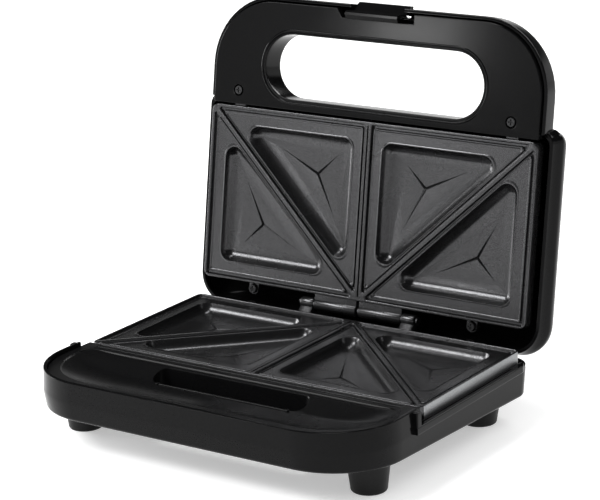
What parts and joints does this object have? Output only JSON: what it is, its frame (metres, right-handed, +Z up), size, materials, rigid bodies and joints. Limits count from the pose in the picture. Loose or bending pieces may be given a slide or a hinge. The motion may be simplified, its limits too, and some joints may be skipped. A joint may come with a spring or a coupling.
{
  "type": "sandwich toaster",
  "caption": "Open two-slot sandwich toaster in gloss black with non-stick triangle plates, carrying handle, latch and feet.",
  "frame": {"origin": "on the surface it stands on, under the middle of the whole with the lid open", "axes": "+Z up, +Y to the back where the hinge is, +X to the right seen from the front"},
  "size_m": [0.2372, 0.2212, 0.2166],
  "materials": {
    "housing": "gloss",
    "deck": "gloss",
    "feet": "matte",
    "coated_plate": "satin",
    "bright_steel": "satin",
    "steel": "satin",
    "sheet_aluminium": "satin",
    "ceramic": "matte",
    "lens_amber": "gloss",
    "lens_green": "gloss",
    "lamp_glass": "gloss"
  },
  "bodies": {
    "base": {"base_shell": "housing", "base_deck": "deck", "foot_front_left": "feet", "foot_front_right": "feet", "foot_rear_left": "feet", "foot_rear_right": "feet", "base_screws": "bright_steel", "cord_bush": "feet", "lower_plate": "coated_plate", "hinge_pin": "bright_steel", "lower_plate_screws": "bright_steel", "lower_element": "steel", "lower_insulators": "ceramic", "lower_clamps": "steel", "lower_clamp_screws": "bright_steel", "lower_reflector": "sheet_aluminium", "thermostat": "ceramic", "thermal_fuse": "steel", "fuse_clip": "steel", "terminal_block": "ceramic"},
    "lid": {"lid_shell": "housing", "lid_panel": "housing", "panel_screws": "bright_steel", "upper_plate": "coated_plate", "upper_plate_screws": "bright_steel", "power_lens": "lens_amber", "ready_lens": "lens_green", "power_lamp": "lamp_glass", "ready_lamp": "lamp_glass", "latch_pin": "steel", "latch_spring": "steel", "upper_element": "steel", "upper_insulators": "ceramic", "upper_clamps": "steel", "upper_clamp_screws": "bright_steel", "upper_reflector": "sheet_aluminium"},
    "latch": {"latch": "housing"}
  },
  "joints": [
    {"name": "lid_hinge", "type": "hinge", "parent": "base", "child": "lid", "pos_m": [0, 0.06541, 0.0428], "axis": [1, 0, 0], "range_deg": [0, 99.4]},
    {"name": "latch_pivot", "type": "hinge", "parent": "lid", "child": "latch", "pos_m": [0, 0.09633, 0.21121], "axis": [1, 0, 0], "range_deg": [-5.5, 0], "stiffness_Nm_per_rad": 0.1, "deforming": ["latch_spring"]}
  ]
}
